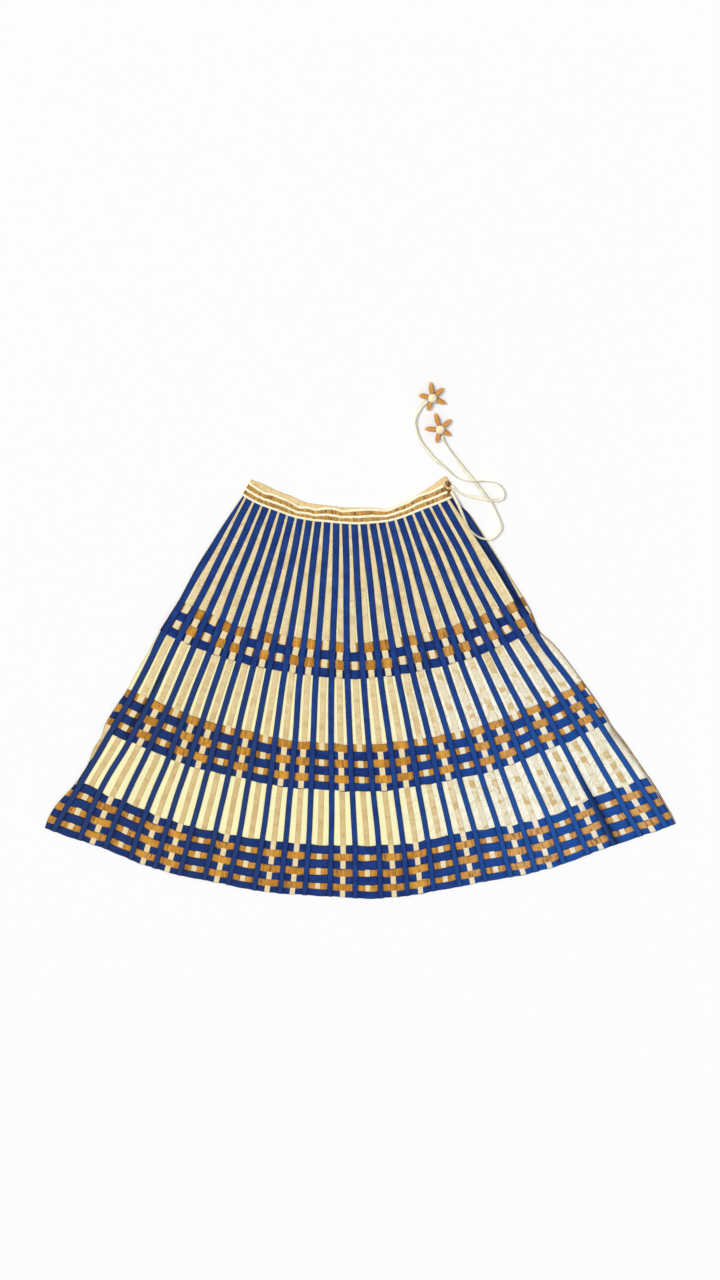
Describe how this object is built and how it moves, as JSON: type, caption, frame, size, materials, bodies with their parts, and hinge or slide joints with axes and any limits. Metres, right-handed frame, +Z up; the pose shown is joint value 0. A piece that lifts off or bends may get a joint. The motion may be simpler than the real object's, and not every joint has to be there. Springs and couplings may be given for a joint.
{
  "type": "long flared skirt",
  "caption": "Long flared skirt laid flat, with radial ribbons over a cream ground, bands of interlaced ribbon, a striped waistband and drawstring ends with stuffed cloth flowers.",
  "frame": {"origin": "centre of the skirt's own bounding box, without its drawstring ends, on the surface that it lies on", "axes": "+X to the right when the front is seen with the waist at the top, +Y from the hem towards the waist, +Z up from the surface"},
  "size_m": [1.4823, 1.2657, 0.0125],
  "materials": {
    "cream_cloth": "satin-faced cream cloth",
    "bronze_ribbon": "shiny bronze satin ribbon",
    "blue_ribbon": "matt ribbed blue ribbon",
    "facing_cloth": "plain warm cream facing",
    "cord_satin": "flat satin cord",
    "petal_silk": "stuffed bronze silk",
    "button_cloth": "cloth-covered button"
  },
  "bodies": {
    "root": {"skirt_back": "cream_cloth", "skirt_front": "cream_cloth", "waistband_back": "facing_cloth", "waistband_front": "cream_cloth", "waistband_end": "bronze_ribbon", "woven_ribbon_upper_1": "bronze_ribbon", "woven_ribbon_upper_2": "blue_ribbon", "woven_ribbon_upper_3": "bronze_ribbon", "woven_ribbon_upper_4": "blue_ribbon", "woven_ribbon_middle_1": "bronze_ribbon", "woven_ribbon_middle_2": "blue_ribbon", "woven_ribbon_middle_3": "bronze_ribbon", "woven_ribbon_middle_4": "blue_ribbon", "woven_ribbon_middle_5": "bronze_ribbon", "woven_ribbon_middle_6": "blue_ribbon", "woven_ribbon_lower_1": "blue_ribbon", "woven_ribbon_lower_2": "bronze_ribbon", "woven_ribbon_lower_3": "blue_ribbon", "woven_ribbon_lower_4": "bronze_ribbon", "woven_ribbon_lower_5": "blue_ribbon", "woven_ribbon_lower_6": "bronze_ribbon", "woven_ribbon_lower_7": "blue_ribbon", "radial_ribbon_01": "blue_ribbon", "radial_ribbon_02": "blue_ribbon", "radial_ribbon_03": "blue_ribbon", "radial_ribbon_04": "blue_ribbon", "radial_ribbon_05": "blue_ribbon", "radial_ribbon_06": "blue_ribbon", "radial_ribbon_07": "blue_ribbon", "radial_ribbon_08": "blue_ribbon", "radial_ribbon_09": "blue_ribbon", "radial_ribbon_10": "blue_ribbon", "radial_ribbon_11": "blue_ribbon", "radial_ribbon_12": "blue_ribbon", "radial_ribbon_13": "blue_ribbon", "radial_ribbon_14": "blue_ribbon", "radial_ribbon_15": "blue_ribbon", "radial_ribbon_16": "blue_ribbon", "radial_ribbon_17": "blue_ribbon", "radial_ribbon_18": "blue_ribbon", "radial_ribbon_19": "blue_ribbon", "radial_ribbon_20": "blue_ribbon", "radial_ribbon_21": "blue_ribbon", "radial_ribbon_22": "blue_ribbon", "radial_ribbon_23": "blue_ribbon", "radial_ribbon_24": "blue_ribbon", "radial_ribbon_25": "blue_ribbon", "drawstring_lower": "cord_satin", "drawstring_upper": "cord_satin", "flower_petals_lower": "petal_silk", "flower_button_lower": "button_cloth", "flower_petals_upper": "petal_silk", "flower_button_upper": "button_cloth"}
  },
  "joints": []
}
